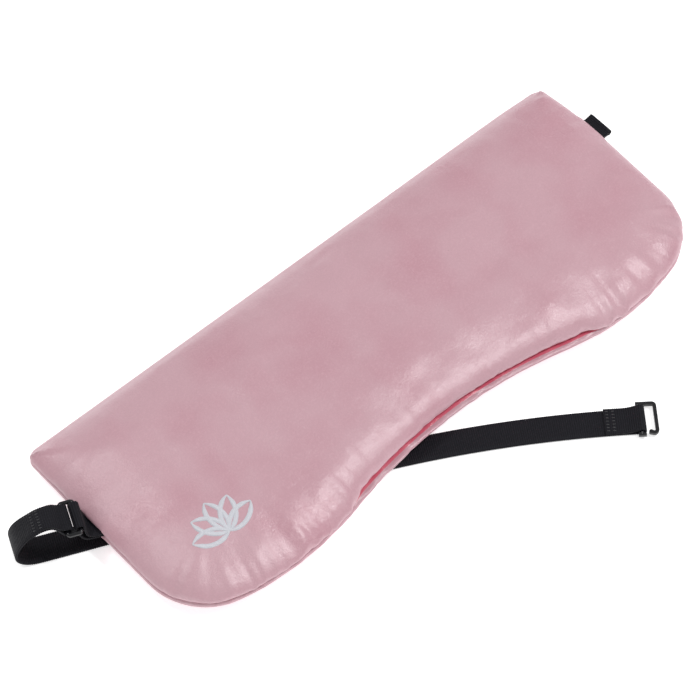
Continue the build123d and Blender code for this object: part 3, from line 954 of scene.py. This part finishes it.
def makeThreadFinish(name, low, high, roughness=0.5, sheen=0.3, mapName=None, lines=46.0):
    # twisted thread: lines across the row, a little uneven
    finish, nodes, links, shader = newFinish(name)
    coords = addNode(nodes, "ShaderNodeTexCoord").outputs["Object"]
    fuzz = noiseOn(nodes, links, coords, 2200, 2.0, 0.6)
    factor = fuzz
    if mapName:
        along = addNode(nodes, "ShaderNodeUVMap", {"uv_map": mapName}).outputs["UV"]
        rows = addNode(nodes, "ShaderNodeTexWave",
                       {"wave_type": "BANDS", "bands_direction": "X", "wave_profile": "SIN"},
                       Scale=lines / 20 * 2 * math.pi, Distortion=1.2, Detail=1.0)
        links.new(along, rows.inputs["Vector"])
        factor = rows.outputs["Fac"]
    colour = mixColour(nodes, links, ramp(nodes, links, factor, 0.05, 0.7), low, high)
    colour = mixColour(nodes, links, ramp(nodes, links, fuzz, 0.3, 0.7, 0.0, 0.3), colour, low)
    links.new(colour, shader.inputs["Base Color"])
    shader.inputs["Roughness"].default_value = roughness
    shader.inputs["Sheen Weight"].default_value = sheen
    normal = bumpOn(nodes, links, factor, 0.6, 0.00015)
    links.new(bumpOn(nodes, links, fuzz, 0.3, 0.00005, normal), shader.inputs["Normal"])
    return finish


def makeCotton(name, low, high):
    # plain weave: two crossed sets of threads
    finish, nodes, links, shader = newFinish(name)
    coords = addNode(nodes, "ShaderNodeTexCoord").outputs["Object"]
    sets = []
    for direction in ("X", "Y"):
        wave = addNode(nodes, "ShaderNodeTexWave",
                       {"wave_type": "BANDS", "bands_direction": direction, "wave_profile": "SIN"},
                       Scale=600.0, Distortion=0.8, Detail=1.0)
        links.new(coords, wave.inputs["Vector"])
        sets.append(wave.outputs["Fac"])
    weave = mixColour(nodes, links, 1.0, sets[0], sets[1], "MULTIPLY")
    slub = noiseOn(nodes, links, coords, 400, 3.0, 0.6)
    colour = mixColour(nodes, links, weave, low, high)
    colour = mixColour(nodes, links, ramp(nodes, links, slub, 0.4, 0.7, 0.0, 0.4), colour, low)
    links.new(colour, shader.inputs["Base Color"])
    shader.inputs["Roughness"].default_value = 0.85
    shader.inputs["Sheen Weight"].default_value = 0.15
    links.new(bumpOn(nodes, links, weave, 0.5, 0.0002), shader.inputs["Normal"])
    return finish


seedLook = {"size": 320.0, "light": (0.30, 0.12, 0.035), "dark": (0.06, 0.02, 0.008), "mid": (0.16, 0.07, 0.02)}


def makeSeeds():
    finish, nodes, links, shader = newFinish("flaxSeed")
    coords = addNode(nodes, "ShaderNodeTexCoord").outputs["Object"]
    cells = addNode(nodes, "ShaderNodeTexVoronoi", {"feature": "F1"}, Scale=seedLook["size"], Randomness=1.0)
    links.new(coords, cells.inputs["Vector"])
    tone = mixColour(nodes, links, ramp(nodes, links, cells.outputs["Distance"], 0.1, 0.65),
                     seedLook["light"], seedLook["dark"])
    hue = noiseOn(nodes, links, coords, 150, 2.0)
    colour = mixColour(nodes, links, ramp(nodes, links, hue, 0.4, 0.6, 0.0, 0.5), tone, seedLook["mid"])
    links.new(colour, shader.inputs["Base Color"])
    shader.inputs["Roughness"].default_value = 0.35
    rounded = addNode(nodes, "ShaderNodeMath", {"operation": "SUBTRACT"})
    rounded.inputs[0].default_value = 1.0
    links.new(cells.outputs["Distance"], rounded.inputs[1])
    links.new(bumpOn(nodes, links, rounded.outputs[0], 0.9, 0.0008), shader.inputs["Normal"])
    return finish


def paint(thing, finish):
    mesh = thing.data
    if not mesh.materials:
        mesh.materials.append(finish)
    for slot in range(len(mesh.materials)):
        mesh.materials[slot] = finish


def paintPanel(panel):
    # satin outside, and a darker, redder satin on the folded allowance and within: painted shade and pink bounce
    # light in the seam and in the slit of the opening
    panel.data.materials.clear()
    panel.data.materials.append(satin)
    panel.data.materials.append(foldSatin)
    inside = panel.data.attributes["within"].data
    for polygon, part in zip(panel.data.polygons, inside):
        polygon.material_index = 1 if part.value else 0


addCamera()
addStage()
satin = makeSatin("pinkSatin", satinLook["light"], satinLook["dark"])
# the satin in one darker, redder tone, as painted shade for the turned-in allowance
foldSatin = makeSatin("pinkSatinPaintedShade", satinLook["fold"], satinLook["fold"])
elastic = makeElastic()
enamel = makeEnamel()
pinkThread = makeThreadFinish("pinkThread", *clothColours["pinkThread"])
pouchThread = makeThreadFinish("pouchThread", *clothColours["pouchThread"])
blackThread = makeThreadFinish("blackThread", *clothColours["blackThread"])
embroidery = makeThreadFinish("whiteEmbroidery", *clothColours["embroidery"], 0.45, 0.4, "thread", 30.0)
cotton = makeCotton("pouchCotton", *clothColours["cotton"])
fleece = makeCotton("backingFleece", *clothColours["fleece"])
seeds = makeSeeds()
print("stage: camera, light and finishes")

front = panelSheet("coverFront", 1)
back = panelSheet("coverBack", -1)
print("stage: cover panels", len(front.data.vertices), len(back.data.vertices))
puff(front, 1)
puff(back, -1)
for panel, node in ((front, "cover_front"), (back, "cover_back")):
    finishWith(panel, "SOLIDIFY", thickness=coverShape["wall"] * mm, offset=-1)
    bakeModifiers(panel)
    for polygon in panel.data.polygons:
        polygon.use_smooth = True
    paintPanel(panel)
    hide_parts(node)
    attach(panel, "mask")
motif = makeMotif(front)
paint(motif, embroidery)
backing = makeBacking(front)
paint(backing, fleece)
print("stage: cover and motif")

pouch = pillow("pouch", pouchSetup["edge"], pouchSetup["skin"])
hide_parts("pouch_front", "pouch_back")
paint(pouch, cotton)
fill = pillow("seedFilling", pouchSetup["seedEdge"], pouchSetup["seedSkin"])
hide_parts("seed_filling")
paint(fill, seeds)
for piece in (pouch, fill):
    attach(piece, "mask")
print("stage: pouch and seeds")

strap = makeStrap()
tabs = makeTabs()
hook = makeHook()
stitches = makeStitches(strap)
for piece in (strap, *tabs):
    paint(piece, elastic)
for piece in stitches:
    paint(piece, blackThread)
paint(hook, enamel)
paint(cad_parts["strap_ring"], enamel)
paint(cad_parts["cover_seam_thread"], pinkThread)
paint(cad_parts["pouch_seam_thread"], pouchThread)
print("stage: strap, ring and hook")
